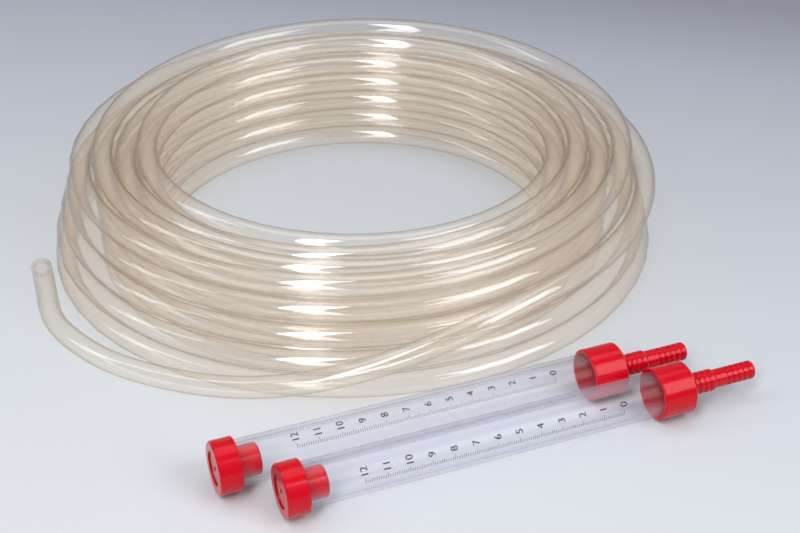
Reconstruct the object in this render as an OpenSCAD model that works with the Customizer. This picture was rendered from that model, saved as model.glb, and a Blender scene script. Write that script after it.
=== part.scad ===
// Water level for setting out: a coil of clear hose and two graduated measuring tubes.
// Millimetres, +Z up. The origin is on the floor at the coil's axis, +X runs along the
// measuring tubes towards their hose nipples, and the tubes lie in front of the coil (-Y).

/* [Hose] */
// Outside diameter of the hose
hose_od = 10.5; // [8:0.5:12]
// Wall thickness of the hose
hose_wall = 1.25; // [0.8:0.05:1.8]
// Radius of the innermost turns, at the middle of the hose
coil_r = 104.5; // [90:0.5:130]
// Turns wound in each full layer of the coil
layer_turns = 5; // [3:1:5]
// Free space between a turn and the one above it
turn_gap = 0.45; // [0.45:0.05:2]
// Free space between a layer and the one outside it
layer_gap = 0.6; // [0.5:0.05:2]
// How far the outer layer's lowest turn sags outwards
outer_sag = 9.5; // [6:0.5:12]
// How much wider that sag is at the coil's sides, and narrower in front and behind
outer_oval = 3.5; // [0:0.5:5]
// Length of the straight bare end of the hose
hose_end_length = 30; // [20:1:60]

/* [Measuring tubes] */
// Outside diameter of a measuring tube
tube_od = 20; // [16:0.5:24]
// Wall thickness of a measuring tube
tube_wall = 1.5; // [1:0.1:2.5]
// Length of a measuring tube
tube_length = 185; // [120:1:240]
// X of the front tube's middle
front_x = -11; // [-40:1:20]
// How much further left the rear tube lies
rear_stagger = 21; // [18:1:60]
// Free space between the hose and the rear tube's cap and connector
rear_gap = 2.2; // [1:0.2:40]
// Free space between the two tubes' caps, side by side
cap_gap = 0.3; // [0.3:0.1:20]

/* [Caps] */
// Wall of a cap's skirt, and of a connector's socket
cap_wall = 1.75; // [1:0.05:4]
// Length of a cap
cap_length = 10; // [7:0.5:20]
// Thickness of a cap's end wall
cap_end = 1.6; // [1.4:0.1:3]
// Space all round between the stopper and the tube's bore
stopper_gap = 1.5; // [0.5:0.1:3]
// Length of the stopper, from the cap's end wall
stopper_length = 18; // [9:0.5:30]
// Width of the rim round the shallow recess in a cap's face
face_rim = 4.3; // [2:0.1:8]
// Depth of that recess
recess_depth = 0.6; // [0.2:0.1:0.9]
// Diameter of the small gate mark in the middle of the recess
gate_d = 1.8; // [1:0.1:4]

/* [Hose connectors] */
// Depth of the socket, which takes the tube
socket_depth = 13; // [6:0.5:25]
// Thickness of the shoulder between the socket and the nipple
shoulder = 3.2; // [1.6:0.1:8]
// How far the nipple's ribs next to the socket are over the hose's bore
root_grip = 2; // [1:0.1:3]
// How far the plain neck and the ribs at the tip are over the hose's bore
neck_grip = 0.5; // [0:0.1:1]
// Length of the plain neck
neck_length = 6.6; // [3:0.1:20]
// Ribs in each of the nipple's two groups
rib_count = 5; // [2:1:6]
// Length of one rib and its groove
rib_pitch = 2.8; // [2:0.1:4]
// Depth of the grooves between ribs
rib_depth = 0.5; // [0.3:0.05:0.8]
// Wall of the nipple under its grooves, round the water way
nipple_wall = 1; // [0.5:0.1:1.5]

/* [Fits] */
// Radial clearance between a tube and the cap or socket on it
fit_clearance = 0.05; // [0.02:0.01:0.1]
// Chamfer on the moulded edges
edge_chamfer = 0.7; // [0.3:0.1:0.9]

/* [Hidden] */
$fn = 64;
// Facets round a connector, with its many ribs
connector_facets = 40;

// The coil is wound in four layers, each outside the last, up and down in turn
layers = 4;
// Azimuth of the coil's inner end, which is also its wider side
wind_from = 158;
// A layer's last half turn steps outwards, in a low hump over the turn beside it
step_turns = 0.5;
step_hump = 0.19 * hose_od;
// The outer layer comes down in half a turn less, and ends where the inner layer starts
outer_turns = layer_turns - 0.5;
// Rings in a turn of the hose, and sides on the wound and on the free hose
rings_per_turn = 24;
coil_sides = 6;
tail_sides = 10;
// The hose rests on a flat a tenth of its diameter deep
rest_flat = hose_od / 10;

hose_r = hose_od / 2;
hose_bore = hose_od - 2 * hose_wall;
row_pitch = hose_od + turn_gap + step_hump / layer_turns;
layer_pitch = hose_od + layer_gap;
floor_row_z = hose_r - rest_flat;
top_row_z = floor_row_z + layer_turns * row_pitch;
turns_per_layer = layer_turns + step_turns;
coil_turns = turns_per_layer * (layers - 1) + outer_turns;
coil_rings = round(coil_turns * rings_per_turn);

// The last turn, every 16.6 degrees: layers outside the outer layer, and rows above the floor.
// It climbs behind the coil, comes in on the right and crosses the front down to the floor.
tail_step = 16.6;
tail_route = [
    [0.30, 0.00], [0.62, 0.05], [0.88, 0.32], [1.00, 0.75], [1.05, 1.30],
    [1.06, 1.90], [1.06, 2.50], [1.06, 3.05], [1.00, 3.40], [0.93, 3.52],
    [0.90, 3.52], [0.93, 3.50], [1.00, 3.52], [1.05, 3.45], [1.06, 2.85],
    [1.06, 1.80], [1.05, 0.80], [1.10, 0.20], [1.60, 0.10], [1.50, 0.10]
];
// The bare end turns in by this angle
tail_end_turn = 11;
tail_rings_per_point = 2;

cap_od = tube_od + 2 * (fit_clearance + cap_wall);
tube_bore = tube_od - 2 * tube_wall;
socket_bore = tube_od + 2 * fit_clearance;
socket_length = socket_depth + shoulder;

// Small helpers
function unit(v) = v / norm(v);
function ease(t) = t <= 0 ? 0 : t >= 1 ? 1 : t * t * (3 - 2 * t);
function polar(azimuth, radius, z) = [radius * cos(azimuth), radius * sin(azimuth), z];
// Level direction of winding, clockwise from above
function along(azimuth) = [sin(azimuth), -cos(azimuth), 0];

// Radius of the outer layer, which sags outwards towards the floor
function outer_radius(azimuth, z) =
    let (sag = outer_sag + outer_oval * cos(2 * (azimuth - wind_from)))
    coil_r + (layers - 1) * layer_pitch + sag * ease((top_row_z - z) / (top_row_z - floor_row_z));

// Middle of the wound hose after a number of turns from its inner end
function azimuth_at(turn) = wind_from - 360 * turn;
function coil_point(turn) =
    let (
        layer = min(layers - 1, floor(turn / turns_per_layer)),
        turns = turn - layer * turns_per_layer,
        azimuth = azimuth_at(turn),
        is_outer = layer == layers - 1,
        is_rising = layer % 2 == 0,
        done = is_outer ? turns / outer_turns : min(1, turns / layer_turns),
        step = is_outer ? 0 : max(0, turns - layer_turns) / step_turns,
        low_z = floor_row_z + (layer == 0 || is_outer ? 0 : step_hump),
        level_z = low_z + (top_row_z - low_z) * (is_rising ? done : 1 - done),
        z = level_z + step_hump * sin(180 * step) * (is_rising ? 1 : -1),
        radius = is_outer ? outer_radius(azimuth, z) : coil_r + layer_pitch * (layer + ease(step))
    )
    polar(azimuth, radius, z);

// The coil's ends run straight for one hose diameter
coil_start_dir = along(azimuth_at(0));
coil_end_dir = along(azimuth_at(coil_turns));
coil_path = [
    coil_point(0) - hose_od * coil_start_dir,
    for (i = [0 : coil_rings]) coil_point(i / rings_per_turn),
    coil_point(coil_turns) + hose_od * coil_end_dir
];

// The free last turn, from the coil's end to the bare end of the hose
function tail_azimuth(i) = azimuth_at(coil_turns) - tail_step * (i + 1);
function route_point(i) =
    let (azimuth = tail_azimuth(i), z = floor_row_z + tail_route[i][1] * row_pitch)
    polar(azimuth, outer_radius(azimuth, z) + tail_route[i][0] * layer_pitch, z);
tail_last = len(tail_route) - 1;
tail_end_dir = along(tail_azimuth(tail_last) - tail_end_turn);
coil_end = coil_path[len(coil_path) - 1];
last_reach = norm(route_point(tail_last) - route_point(tail_last - 1));
// The last knot isn't reached: it leads the curve into the bare end's direction
tail_knots = [
    coil_end,
    coil_end + hose_od * coil_end_dir,
    for (i = [0 : tail_last]) route_point(i),
    route_point(tail_last - 1) + 2 * last_reach * tail_end_dir
];
tail_spans = len(tail_knots) - 3;
hose_end_from = route_point(tail_last) + hose_od * tail_end_dir;

// Smooth curve through four neighbouring knots, from the second to the third
function smooth(a, b, c, d, t) =
    b + (c - a) * t / 2 + (a - 2.5 * b + 2 * c - d / 2) * t * t + (1.5 * (b - c) + (d - a) / 2) * t * t * t;
tail_path = [
    tail_knots[0],
    for (k = [1 : tail_spans]) for (j = [0 : tail_rings_per_point - 1])
        smooth(tail_knots[k - 1], tail_knots[k], tail_knots[k + 1], tail_knots[k + 2], j / tail_rings_per_point),
    tail_knots[tail_spans + 1],
    hose_end_from
];

// The measuring tubes lie on the floor, in front of the furthest that the free turn reaches
front_reach = max([for (p = tail_path) -p[1]]);
axis_z = cap_od / 2;
rear_y = -(front_reach + hose_r + rear_gap + cap_od / 2);
front_y = rear_y - cap_od - cap_gap;
rear_x = front_x - rear_stagger;

// Least gap between any two turns of the hose, measured from points to the runs between points
hose_tip = hose_end_from + hose_end_length * tail_end_dir;
hose_path = concat(coil_path, [for (i = [1 : len(tail_path) - 1]) tail_path[i]], [hose_tip]);
function distance_to_run(p, a, b) =
    let (t = (p - a) * (b - a) / ((b - a) * (b - a)))
    norm(p - a - max(0, min(1, t)) * (b - a));
function least_gap(path, apart) =
    min([
        for (i = [0 : len(path) - 1]) for (j = [i + apart : len(path) - 2])
            distance_to_run(path[i], path[j], path[j + 1])
    ]) - hose_od;
echo(least_gap_of_the_hose_to_itself = least_gap(hose_path, rings_per_turn / 2));  // hose_coil

// One unbroken tube of flat-sided rings along a path
function direction(path, i, first, last) =
    i == 0 ? first : i == len(path) - 1 ? last : unit(path[i + 1] - path[i - 1]);
function ring(middle, dir, radius, sides) =
    let (side = unit(cross(dir, [0, 0, 1])), up = cross(side, dir))
    [for (k = [0 : sides - 1]) middle + radius * (cos(90 + 360 * k / sides) * side + sin(90 + 360 * k / sides) * up)];

module swept_tube(path, radius, sides, first, last) {
    rings = len(path);
    end = sides * (rings - 1);
    polyhedron(
        points = [
            for (i = [0 : rings - 1]) each ring(path[i], direction(path, i, first, last), radius, sides)
        ],
        faces = [
            for (i = [0 : rings - 2]) for (k = [0 : sides - 1]) each
                let (a = i * sides + k, b = i * sides + (k + 1) % sides)
                [[a, b, b + sides], [a, b + sides, a + sides]],
            for (k = [1 : sides - 2]) each [[0, k + 1, k], [end, end + k, end + k + 1]]
        ]
    );
}

// What lies under the floor is cut away, so that the hose rests on flats
module above_floor() {
    reach = 2 * (coil_r + 8 * layer_pitch);
    difference() {
        children();
        translate([-reach / 2, -reach / 2, -hose_od]) cube([reach, reach, hose_od]);
    }
}

module hose_coil() {
    color([0.86, 0.82, 0.72])
        above_floor() swept_tube(coil_path, hose_r, coil_sides, coil_start_dir, coil_end_dir);
}

module hose_tail() {
    color([0.86, 0.82, 0.72])
        above_floor() swept_tube(tail_path, hose_r, tail_sides, coil_end_dir, tail_end_dir);
}

// The bare cut end, with its true bore
module hose_end() {
    color([0.86, 0.82, 0.72])
        translate(hose_end_from)
            rotate([0, 0, atan2(tail_end_dir[1], tail_end_dir[0])])
                rotate([0, 90, 0])
                    difference() {
                        cylinder(h = hose_end_length, d = hose_od);
                        translate([0, 0, -1]) cylinder(h = hose_end_length + 2, d = hose_bore);
                    }
}

// Lays a piece that is drawn along +Z along +X, from the cap end of a measuring tube
module on_tube_axis(middle_x, y) {
    translate([middle_x - tube_length / 2, y, axis_z]) rotate([0, 90, 0]) children();
}

module measuring_tube(middle_x, y) {
    color([0.86, 0.87, 0.93])
        on_tube_axis(middle_x, y)
            difference() {
                cylinder(h = tube_length, d = tube_od);
                translate([0, 0, -1]) cylinder(h = tube_length + 2, d = tube_bore);
            }
}

// Cap with a skirt over the tube's end and a stopper inside it. Its end wall meets the tube.
module stopper_cap(middle_x, y) {
    outer = cap_od / 2;
    skirt = socket_bore / 2;
    stopper = tube_bore / 2 - stopper_gap;
    recess = outer - face_rim;
    stopper_end = cap_end + stopper_length;
    color([0.84, 0.02, 0.1])
        on_tube_axis(middle_x, y)
            translate([0, 0, -cap_end])
                rotate_extrude()
                    polygon([
                        [0, recess_depth / 2], [gate_d / 2, recess_depth / 2], [gate_d / 2, recess_depth],
                        [recess, recess_depth], [recess, 0],
                        [outer - edge_chamfer, 0], [outer, edge_chamfer],
                        [outer, cap_length - edge_chamfer / 2], [outer - edge_chamfer / 2, cap_length],
                        [skirt, cap_length], [skirt, cap_end], [stopper, cap_end],
                        [stopper, stopper_end - edge_chamfer], [stopper - edge_chamfer, stopper_end],
                        [0, stopper_end]
                    ]);
}

// Outline of one group of ribs, from the socket's side: radius, and height along the nipple.
// Each rib has a flat crest between sloping sides, and the next one starts where it ends.
function ribs(from, radius) = [
    for (i = [0 : rib_count - 1]) each
        let (z = from + i * rib_pitch)
        [
            [radius, z + 0.25 * rib_pitch], [radius, z + 0.75 * rib_pitch],
            [radius - rib_depth, z + rib_pitch]
        ]
];

// Socket over the tube's other end, and a nipple with two groups of ribs for the hose
module hose_connector(middle_x, y) {
    outer = cap_od / 2;
    bore = socket_bore / 2;
    root = (hose_bore + root_grip) / 2;
    neck = (hose_bore + neck_grip) / 2;
    water_way = neck - rib_depth - nipple_wall;
    neck_from = socket_length + rib_count * rib_pitch;
    tip_from = neck_from + neck_length;
    nipple_end = tip_from + rib_count * rib_pitch;
    color([0.84, 0.02, 0.1])
        on_tube_axis(middle_x, y)
            translate([0, 0, tube_length - socket_depth])
                rotate_extrude($fn = connector_facets)
                    polygon([
                        [bore, 0], [outer - edge_chamfer / 2, 0], [outer, edge_chamfer / 2],
                        [outer, socket_length - edge_chamfer], [outer - edge_chamfer, socket_length],
                        [root - rib_depth, socket_length],
                        each ribs(socket_length, root),
                        [neck, neck_from], [neck, tip_from - edge_chamfer], [neck - rib_depth, tip_from],
                        each ribs(tip_from, neck),
                        [water_way, nipple_end], [water_way, socket_depth], [bore, socket_depth]
                    ]);
}

hose_coil();
hose_tail();
hose_end();
measuring_tube(front_x, front_y);  // measuring_tube_front
measuring_tube(rear_x, rear_y);  // measuring_tube_rear
stopper_cap(front_x, front_y);  // stopper_cap_front
stopper_cap(rear_x, rear_y);  // stopper_cap_rear
hose_connector(front_x, front_y);  // hose_connector_front
hose_connector(rear_x, rear_y);  // hose_connector_rear
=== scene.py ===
"""Looks of the water level: a coil of clear hose and two graduated measuring tubes.
Metres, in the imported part's frame: +Z up, the coil's axis at the origin, the tubes in front at -Y."""
from math import cos, floor, radians, sin, tau

import bpy
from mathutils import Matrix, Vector


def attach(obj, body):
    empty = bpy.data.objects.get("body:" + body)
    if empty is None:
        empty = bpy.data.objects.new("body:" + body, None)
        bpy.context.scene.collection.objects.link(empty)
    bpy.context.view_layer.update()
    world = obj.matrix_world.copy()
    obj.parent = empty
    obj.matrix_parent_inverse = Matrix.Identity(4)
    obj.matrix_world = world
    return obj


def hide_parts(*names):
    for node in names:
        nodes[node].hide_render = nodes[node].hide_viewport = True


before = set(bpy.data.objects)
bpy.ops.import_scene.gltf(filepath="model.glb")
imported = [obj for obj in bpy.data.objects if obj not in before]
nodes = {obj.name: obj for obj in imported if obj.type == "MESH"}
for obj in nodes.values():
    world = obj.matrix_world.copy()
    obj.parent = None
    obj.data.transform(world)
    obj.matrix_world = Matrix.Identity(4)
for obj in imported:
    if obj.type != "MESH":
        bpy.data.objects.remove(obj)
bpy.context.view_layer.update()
UP = Vector((0, 0, 1))

# Camera, at the photograph's view
IMAGE_WIDTH = 800
FOCAL_PX = 1500
SENSOR_WIDTH = 36
CAMERA_AT = (-0.2343, -0.6460, 0.4147)
CAMERA_TILT = 57.7
CAMERA_TURN = -22


def link(piece):
    bpy.context.collection.objects.link(piece)
    return piece


def add_camera():
    data = bpy.data.cameras.new("camera")
    data.sensor_width = SENSOR_WIDTH
    data.lens = SENSOR_WIDTH * FOCAL_PX / IMAGE_WIDTH
    camera = link(bpy.data.objects.new("camera", data))
    camera.location = CAMERA_AT
    camera.rotation_euler = (radians(CAMERA_TILT), 0, radians(CAMERA_TURN))
    bpy.context.scene.camera = camera


add_camera()


# Hose: the winding of the CAD model's coil, in metres
HOSE_OD = 0.0105
HOSE_BORE = 0.008
COIL_R = 0.1045
LAYER_TURNS = 5
TURN_GAP = 0.00045
LAYER_GAP = 0.0006
OUTER_SAG = 0.0095
OUTER_OVAL = 0.0035
HOSE_END_LENGTH = 0.030
LAYERS = 4
WIND_FROM = 158
STEP_TURNS = 0.5
STEP_HUMP = 0.19 * HOSE_OD
OUTER_TURNS = LAYER_TURNS - 0.5
ROW_PITCH = HOSE_OD + TURN_GAP + STEP_HUMP / LAYER_TURNS
LAYER_PITCH = HOSE_OD + LAYER_GAP
FLOOR_ROW_Z = HOSE_OD / 2 - HOSE_OD / 10
TOP_ROW_Z = FLOOR_ROW_Z + LAYER_TURNS * ROW_PITCH
TURNS_PER_LAYER = LAYER_TURNS + STEP_TURNS
COIL_TURNS = TURNS_PER_LAYER * (LAYERS - 1) + OUTER_TURNS
POINTS_PER_TURN = 48
HOSE_SIDES = 20
BORE_DEPTH = 0.004
SHARP_ANGLE = 40

# The free last turn, every 16.6 degrees: layers outside the outer layer, and rows above the floor
TAIL_STEP = 16.6
TAIL_ROUTE = [
    (0.30, 0.00), (0.62, 0.05), (0.88, 0.32), (1.00, 0.75), (1.05, 1.30),
    (1.06, 1.90), (1.06, 2.50), (1.06, 3.05), (1.00, 3.40), (0.93, 3.52),
    (0.90, 3.52), (0.93, 3.50), (1.00, 3.52), (1.05, 3.45), (1.06, 2.85),
    (1.06, 1.80), (1.05, 0.80), (1.10, 0.20), (1.60, 0.10), (1.50, 0.10),
]
TAIL_END_TURN = 11
TAIL_POINTS_PER_SPAN = 6


def ease(t):
    t = max(0, min(1, t))
    return t * t * (3 - 2 * t)


def polar(azimuth, radius, z):
    a = radians(azimuth)
    return Vector((radius * cos(a), radius * sin(a), z))


def along(azimuth):
    """Level direction of winding, clockwise from above."""
    a = radians(azimuth)
    return Vector((sin(a), -cos(a), 0))


def outer_radius(azimuth, z):
    """Radius of the outer layer, which sags outwards towards the floor."""
    sag = OUTER_SAG + OUTER_OVAL * cos(radians(2 * (azimuth - WIND_FROM)))
    return COIL_R + (LAYERS - 1) * LAYER_PITCH + sag * ease((TOP_ROW_Z - z) / (TOP_ROW_Z - FLOOR_ROW_Z))


def azimuth_at(turn):
    return WIND_FROM - 360 * turn


def coil_point(turn):
    """Middle of the wound hose after a number of turns from its inner end."""
    layer = min(LAYERS - 1, floor(turn / TURNS_PER_LAYER))
    turns = turn - layer * TURNS_PER_LAYER
    azimuth = azimuth_at(turn)
    is_outer = layer == LAYERS - 1
    is_rising = layer % 2 == 0
    done = turns / OUTER_TURNS if is_outer else min(1, turns / LAYER_TURNS)
    step = 0 if is_outer else max(0, turns - LAYER_TURNS) / STEP_TURNS
    low_z = FLOOR_ROW_Z + (0 if layer == 0 or is_outer else STEP_HUMP)
    level_z = low_z + (TOP_ROW_Z - low_z) * (done if is_rising else 1 - done)
    z = level_z + STEP_HUMP * sin(radians(180 * step)) * (1 if is_rising else -1)
    radius = outer_radius(azimuth, z) if is_outer else COIL_R + LAYER_PITCH * (layer + ease(step))
    return polar(azimuth, radius, z)


def smooth(a, b, c, d, t):
    """Point on the smooth curve through four knots, between the second and the third."""
    return b + (c - a) * t / 2 + (a - 2.5 * b + 2 * c - d / 2) * t**2 + (1.5 * (b - c) + (d - a) / 2) * t**3


def hose_path():
    """Middle line of the whole hose, from its inner end to its bare end."""
    start_dir = along(azimuth_at(0))
    end_dir = along(azimuth_at(COIL_TURNS))
    steps = round(COIL_TURNS * POINTS_PER_TURN)
    coil = [coil_point(0) - back * start_dir for back in (HOSE_OD, HOSE_OD - BORE_DEPTH)]
    coil += [coil_point(i / POINTS_PER_TURN) for i in range(steps + 1)]
    coil.append(coil[-1] + HOSE_OD * end_dir)
    knots = [coil[-1], coil[-1] + HOSE_OD * end_dir]
    for i, (out, up) in enumerate(TAIL_ROUTE):
        azimuth = azimuth_at(COIL_TURNS) - TAIL_STEP * (i + 1)
        z = FLOOR_ROW_Z + up * ROW_PITCH
        knots.append(polar(azimuth, outer_radius(azimuth, z) + out * LAYER_PITCH, z))
    last_dir = along(azimuth - TAIL_END_TURN)
    # The last knot isn't reached: it leads the curve into the bare end's direction
    end_from = knots[-1] + HOSE_OD * last_dir
    knots.append(knots[-2] + 2 * (knots[-1] - knots[-2]).length * last_dir)
    tail = []
    for k in range(1, len(knots) - 2):
        for j in range(TAIL_POINTS_PER_SPAN):
            tail.append(smooth(*knots[k - 1:k + 3], j / TAIL_POINTS_PER_SPAN))
    tail.append(knots[-2])
    reaches = (0, HOSE_END_LENGTH / 2, HOSE_END_LENGTH - BORE_DEPTH, HOSE_END_LENGTH)
    tail += [end_from + reach * last_dir for reach in reaches]
    return coil + tail


def link_mesh(name, verts, faces, material):
    """A smooth piece, with creases only at edges sharper than SHARP_ANGLE."""
    mesh = bpy.data.meshes.new(name)
    mesh.from_pydata(verts, [], faces)
    mesh.polygons.foreach_set("use_smooth", [True] * len(mesh.polygons))
    mesh.set_sharp_from_angle(angle=radians(SHARP_ANGLE))
    mesh.materials.append(material)
    return link(bpy.data.objects.new(name, mesh))


def tube_mesh(name, path, material):
    """A hose along a path, flat where it rests on the floor, with a short open bore at each end.
    The bore reaches from the first point to the second, and from the last but one to the last."""
    verts, faces = [], []
    n = HOSE_SIDES

    def add_wall(points, radius, outwards):
        first = len(verts)
        for i, p in enumerate(points):
            ahead = points[min(i + 1, len(points) - 1)] - points[max(i - 1, 0)]
            side = ahead.cross(UP).normalized()
            up = side.cross(ahead).normalized()
            for k in range(n):
                v = p + radius * (cos(tau * k / n) * side + sin(tau * k / n) * up)
                v.z = max(v.z, 0)
                verts.append(v)
        for i in range(len(points) - 1):
            for k in range(n):
                a, b = first + n * i + k, first + n * i + (k + 1) % n
                faces.append((a, b, b + n, a + n) if outwards else (b, a, a + n, b + n))
        return first, len(verts) - n

    def add_rim(outer, inner):
        for k in range(n):
            m = (k + 1) % n
            faces.append((outer + m, outer + k, inner + k, inner + m))

    start, end = add_wall(path, HOSE_OD / 2, True)
    start_bore, start_floor = add_wall(path[:2], HOSE_BORE / 2, False)
    end_floor, end_bore = add_wall(path[-2:], HOSE_BORE / 2, False)
    add_rim(start, start_bore)
    add_rim(end_bore, end)
    faces.append(tuple(range(start_floor, start_floor + n)))
    faces.append(tuple(reversed(range(end_floor, end_floor + n))))
    return link_mesh(name, verts, faces, material)


# Materials
GROOVE_SHADE_REACH = 0.0012
EDGE_RADIUS = 0.0006


def new_material(name):
    material = bpy.data.materials.new(name)
    material.use_nodes = True
    tree = material.node_tree
    return material, tree.nodes, tree.links, tree.nodes["Principled BSDF"]


def set_inputs(node, **values):
    """Constant sockets by name, with _ for each space."""
    for name, value in values.items():
        node.inputs[name.replace("_", " ")].default_value = value


def add_noise(n, links, scale, detail):
    coords = n.new("ShaderNodeTexCoord")
    noise = n.new("ShaderNodeTexNoise")
    set_inputs(noise, Scale=scale, Detail=detail)
    links.new(coords.outputs["Object"], noise.inputs["Vector"])
    return noise.outputs["Fac"]


def add_ramp(n, links, value, low, high):
    ramp = n.new("ShaderNodeValToRGB")
    ramp.color_ramp.elements[0].color = low
    ramp.color_ramp.elements[1].color = high
    links.new(value, ramp.inputs["Fac"])
    return ramp.outputs["Color"]


def add_stops(n, links, value, stops):
    """Colour ramp with any number of stops: place and colour or grey."""
    ramp = n.new("ShaderNodeValToRGB")
    elements = ramp.color_ramp.elements
    for place, _ in stops[1:-1]:
        elements.new(place)
    for element, (place, tone) in zip(elements, stops):
        element.position = place
        element.color = tone if isinstance(tone, tuple) else (tone, tone, tone, 1)
    links.new(value, ramp.inputs["Fac"])
    return ramp.outputs["Color"]


def multiply(n, links, colour, shade):
    """Product of two colours."""
    mix = n.new("ShaderNodeMix")
    mix.data_type = "RGBA"
    mix.blend_type = "MULTIPLY"
    factor, a, b = mix.inputs[0], mix.inputs[6], mix.inputs[7]
    factor.default_value = 1
    links.new(colour, a)
    links.new(shade, b)
    return mix.outputs[2]


def see_through(material, shader, body, slant_shade_tones, cover, tint, lamp_tint):
    """A clear wall: it covers what lies behind it more, and in darker tones, the more it slants; the darker
    tones are painted shade for the dark edges that refraction gives.
    Lamps shine through it with a cast of lamp_tint."""
    n, links = material.node_tree.nodes, material.node_tree.links
    slant = n.new("ShaderNodeLayerWeight")
    set_inputs(slant, Blend=0.5)
    # Painted shade: the wall's colour darkens at steep slants, in place of the dark edges from refraction.
    shade = add_stops(n, links, slant.outputs["Facing"], slant_shade_tones)
    links.new(multiply(n, links, body, shade), shader.inputs["Base Color"])
    clear = n.new("ShaderNodeBsdfTransparent")
    set_inputs(clear, Color=tint)
    wall = n.new("ShaderNodeMixShader")
    links.new(add_stops(n, links, slant.outputs["Facing"], cover), wall.inputs["Fac"])
    links.new(clear.outputs["BSDF"], wall.inputs[1])
    links.new(shader.outputs["BSDF"], wall.inputs[2])
    rays = n.new("ShaderNodeLightPath")
    lit = n.new("ShaderNodeBsdfTransparent")
    set_inputs(lit, Color=lamp_tint)
    mix = n.new("ShaderNodeMixShader")
    links.new(rays.outputs["Is Shadow Ray"], mix.inputs["Fac"])
    links.new(wall.outputs["Shader"], mix.inputs[1])
    links.new(lit.outputs["BSDF"], mix.inputs[2])
    links.new(mix.outputs["Shader"], n["Material Output"].inputs["Surface"])


def hose_material():
    """Clear soft hose: cream in the pile, with painted shade making its edges show as thin darker lines in
    place of refraction.
    """
    material, n, links, shader = new_material("clear_hose")
    noise = add_noise(n, links, 35, 3)
    body = add_ramp(n, links, noise, (0.71, 0.682, 0.626, 1), (0.785, 0.762, 0.706, 1))
    waves = n.new("ShaderNodeBump")
    set_inputs(waves, Strength=0.15, Distance=0.001)
    links.new(noise, waves.inputs["Height"])
    links.new(waves.outputs["Normal"], shader.inputs["Normal"])
    links.new(waves.outputs["Normal"], shader.inputs["Coat Normal"])
    set_inputs(shader, Roughness=0.1, IOR=1.02, Transmission_Weight=0.4)
    set_inputs(shader, Coat_Weight=1, Coat_IOR=3.3, Coat_Roughness=0.06)
    # Painted shade: the darkest tones at the steepest slants stand in for the dark edges that refraction
    # gives; the tan between stands for the longer path through the wall.
    slant_shade_tones = ((0, (1, 1, 1, 1)), (0.36, (1, 0.97, 0.93, 1)), (0.58, (0.82, 0.71, 0.62, 1)),
             (0.80, (0.34, 0.30, 0.27, 1)), (1, (0.26, 0.24, 0.22, 1)))
    cover = ((0, 0.25), (0.30, 0.26), (0.345, 0.32), (0.40, 0.29), (0.55, 0.38), (0.74, 0.58), (1, 0.88))
    see_through(material, shader, body, slant_shade_tones, cover, (0.980, 0.964, 0.945, 1), (0.969, 0.961, 0.948, 1))
    return material


def tube_material():
    """Clear moulded tube: thin lavender cast, glossy, with painted shade darkening its edges in place of
    refraction.
    """
    material, n, links, shader = new_material("clear_tube")
    noise = add_noise(n, links, 60, 2)
    body = add_ramp(n, links, noise, (0.72, 0.72, 0.78, 1), (0.79, 0.79, 0.84, 1))
    set_inputs(shader, Roughness=0.1, IOR=1.02, Transmission_Weight=0.6)
    set_inputs(shader, Coat_Weight=1, Coat_IOR=4, Coat_Roughness=0.22)
    # Painted shade: darker tones at steep slants stand in for the dark edges that refraction gives.
    slant_shade_tones = ((0, (1, 1, 1, 1)), (0.3, (0.92, 0.92, 0.98, 1)), (0.85, (0.55, 0.55, 0.62, 1)))
    cover = ((0, 0.025), (0.12, 0.03), (0.25, 0.10), (0.50, 0.26), (0.75, 0.38), (1, 0.6))
    see_through(material, shader, body, slant_shade_tones, cover, (0.974, 0.973, 0.984, 1), (0.965, 0.965, 0.972, 1))
    return material


def red_material():
    """Moulded plastic with a faint orange-peel skin and softened edges, and painted shade deepening the red
    in its grooves.
    """
    material, n, links, shader = new_material("red_plastic")
    noise = add_noise(n, links, 900, 2)
    tone = add_ramp(n, links, noise, (0.53, 0.0003, 0.008, 1), (0.59, 0.0006, 0.012, 1))
    # Painted shade: ambient occlusion darkens the red in grooves and recesses.
    groove_shade = n.new("ShaderNodeAmbientOcclusion")
    groove_shade.samples = 6
    groove_shade.only_local = True
    set_inputs(groove_shade, Distance=GROOVE_SHADE_REACH)
    depth = add_stops(n, links, groove_shade.outputs["AO"], ((0.35, 0.35), (0.85, 1)))
    links.new(multiply(n, links, tone, depth), shader.inputs["Base Color"])
    edges = n.new("ShaderNodeBevel")
    edges.samples = 4
    set_inputs(edges, Radius=EDGE_RADIUS)
    bump = n.new("ShaderNodeBump")
    set_inputs(bump, Strength=0.05, Distance=0.0002)
    links.new(noise, bump.inputs["Height"])
    links.new(edges.outputs["Normal"], bump.inputs["Normal"])
    links.new(bump.outputs["Normal"], shader.inputs["Normal"])
    set_inputs(shader, Roughness=0.22, Specular_IOR_Level=0.3, Specular_Tint=(1, 0.25, 0.30, 1))
    set_inputs(shader, Coat_Weight=0.35, Coat_Roughness=0.14)
    return material


def ink_material():
    """Screen-printed ink, a little thin in places."""
    material, n, links, shader = new_material("scale_ink")
    noise = add_noise(n, links, 1500, 2)
    tone = add_ramp(n, links, noise, (0.006, 0.006, 0.009, 1), (0.03, 0.03, 0.04, 1))
    links.new(tone, shader.inputs["Base Color"])
    set_inputs(shader, Roughness=0.5)
    return material


clear_hose = hose_material()
clear_tube = tube_material()
red_plastic = red_material()
ink = ink_material()

path = hose_path()
hose = tube_mesh("hose", path, clear_hose)
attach(hose, "hose")
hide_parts("hose_coil", "hose_tail", "hose_end")

# CAD pieces keep their shapes and get their finish
finishes = {"measuring_tube": clear_tube, "stopper_cap": red_plastic, "hose_connector": red_plastic}
for name, node in nodes.items():
    for start, finish in finishes.items():
        if name.startswith(start):
            node.data.materials.clear()
            node.data.materials.append(finish)


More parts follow.
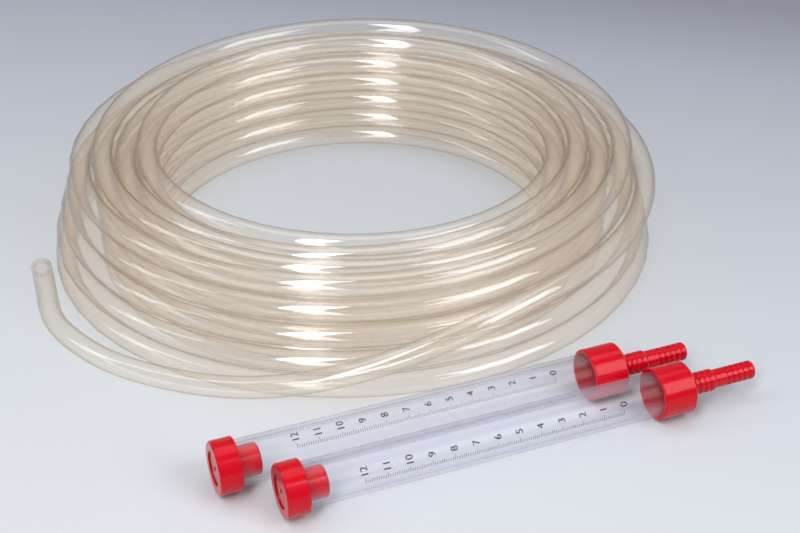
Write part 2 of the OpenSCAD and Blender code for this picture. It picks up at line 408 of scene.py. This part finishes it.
# Printed scale: millimetre ticks and a number at each centimetre, along the tube towards its cap
TUBE_R = 0.010
INK_R = TUBE_R + 0.0001
AXIS_Z = 0.0118
SCALE_CM = 12
TICK_WIDTH = 0.00024
MM_TICK, HALF_TICK, CM_TICK = 0.0015, 0.0019, 0.0023
DIGIT_SIZE = 0.0046
DIGIT_BOLD = 0.00006
DIGIT_RISE = 0.0033
DIGIT_MIDDLE = 0.0050


def digit_mesh(number):
    """Flat outline of a number, centred, from Blender's own font."""
    curve = bpy.data.curves.new("digits", "FONT")
    curve.body = str(number)
    curve.size = DIGIT_SIZE
    curve.align_x = "CENTER"
    holder = bpy.data.objects.new("digits", curve)
    mesh = bpy.data.meshes.new_from_object(holder)
    verts = [(v.co.x, v.co.y - DIGIT_RISE / 2) for v in mesh.vertices]
    faces = [tuple(f.vertices) for f in mesh.polygons]
    bpy.data.objects.remove(holder)
    bpy.data.curves.remove(curve)
    bpy.data.meshes.remove(mesh)
    return verts, faces


def add_scale(name, body, zero_x, axis_y, base_angle):
    """Ticks and numbers bent round a tube. The base line is base_angle up from the tube's front."""
    verts, faces = [], []

    def on_tube(x, around):
        a = radians(base_angle) + around / TUBE_R
        return (x, axis_y - INK_R * cos(a), AXIS_Z + INK_R * sin(a))

    for mm in range(10 * SCALE_CM + 1):
        x = zero_x - mm / 1000
        length = CM_TICK if mm % 10 == 0 else HALF_TICK if mm % 5 == 0 else MM_TICK
        first = len(verts)
        for around in (0, length / 2, length):
            verts.append(on_tube(x - TICK_WIDTH / 2, around))
            verts.append(on_tube(x + TICK_WIDTH / 2, around))
        faces.append((first, first + 1, first + 3, first + 2))
        faces.append((first + 2, first + 3, first + 5, first + 4))
    # Each number is laid twice, a little apart, which makes its strokes bolder
    for cm in range(SCALE_CM + 1):
        flat, digit_faces = digit_mesh(cm)
        for bold in (-DIGIT_BOLD, DIGIT_BOLD):
            first = len(verts)
            verts.extend(on_tube(zero_x - cm / 100 - up, DIGIT_MIDDLE + right + bold) for right, up in flat)
            faces.extend(tuple(first + k for k in face) for face in digit_faces)
    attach(link_mesh(name, verts, faces, ink), body)


add_scale("scale_front", "tube_front", 0.0487, -0.195423, 8.4)
add_scale("scale_rear", "tube_rear", 0.0286, -0.171523, 38.5)


# Floor, lights and background
# The floor's colour darkens away from the camera, and a little to the right: painted shade for the falloff
# of the lamps' light.
FAR = Vector((cos(radians(90 + CAMERA_TURN)), sin(radians(90 + CAMERA_TURN)), 0))
RIGHT = Vector((cos(radians(CAMERA_TURN)), sin(radians(CAMERA_TURN)), 0))
FLOOR_NEAR, FLOOR_FAR = -0.25, 0.40
FLOOR_HALF = 3
FLOOR_DROP = 0.0002
DARKER_RIGHT = 0.3
LIGHT_AIM = Vector((0, 0, 0.03))
FLOOR_FALLOFF_SHADE = (
    (0.00, (0.61, 0.63, 0.66, 1)),
    (0.25, (0.56, 0.59, 0.63, 1)),
    (0.50, (0.49, 0.52, 0.56, 1)),
    (0.80, (0.40, 0.42, 0.48, 1)),
    (1.00, (0.28, 0.29, 0.34, 1)),
)


def add_floor():
    mesh = bpy.data.meshes.new("floor")
    h = FLOOR_HALF
    mesh.from_pydata([(-h, -h, 0), (h, -h, 0), (h, h, 0), (-h, h, 0)], [], [(0, 1, 2, 3)])
    floor_piece = link(bpy.data.objects.new("floor", mesh))
    material, n, links, shader = new_material("floor")
    # Painted shade: distance from the camera, and to the right, sets how dark the floor's colour is.
    coords = n.new("ShaderNodeTexCoord")
    depth = n.new("ShaderNodeVectorMath")
    depth.operation = "DOT_PRODUCT"
    depth.inputs[1].default_value = FAR + DARKER_RIGHT * RIGHT
    links.new(coords.outputs["Object"], depth.inputs[0])
    span = n.new("ShaderNodeMapRange")
    set_inputs(span, From_Min=FLOOR_NEAR, From_Max=FLOOR_FAR)
    links.new(depth.outputs["Value"], span.inputs["Value"])
    links.new(add_stops(n, links, span.outputs["Result"], FLOOR_FALLOFF_SHADE), shader.inputs["Base Color"])
    set_inputs(shader, Roughness=0.6, Specular_IOR_Level=0.3)
    mesh.materials.append(material)
    floor_piece.location.z = -FLOOR_DROP


def add_light(name, azimuth, elevation, distance, size, power):
    """A soft box that faces the coil: degrees, metres and watts."""
    data = bpy.data.lights.new(name, "AREA")
    data.shape = "RECTANGLE"
    data.size, data.size_y = size
    data.energy = power
    light = link(bpy.data.objects.new(name, data))
    a, e = radians(azimuth), radians(elevation)
    light.location = distance * Vector((cos(e) * cos(a), cos(e) * sin(a), sin(e))) + LIGHT_AIM
    light.rotation_euler = (LIGHT_AIM - light.location).to_track_quat("-Z", "Y").to_euler()


add_floor()
add_light("key", -132, 48, 1.6, (0.36, 1.4), 15)
add_light("side", -56, 37, 1.6, (0.9, 1.0), 11)
add_light("left", 160, 38, 1.6, (0.4, 1.2), 3.5)
add_light("top", 68, 80, 1.5, (1.4, 1.0), 6)
world = bpy.data.worlds.new("world")
world.use_nodes = True
set_inputs(world.node_tree.nodes["Background"], Color=(0.75, 0.78, 0.84, 1), Strength=0.33)
bpy.context.scene.world = world
bpy.context.scene.view_settings.view_transform = "Standard"
bpy.context.scene.cycles.max_bounces = 40
bpy.context.scene.cycles.transmission_bounces = 40
bpy.context.scene.cycles.transparent_max_bounces = 96
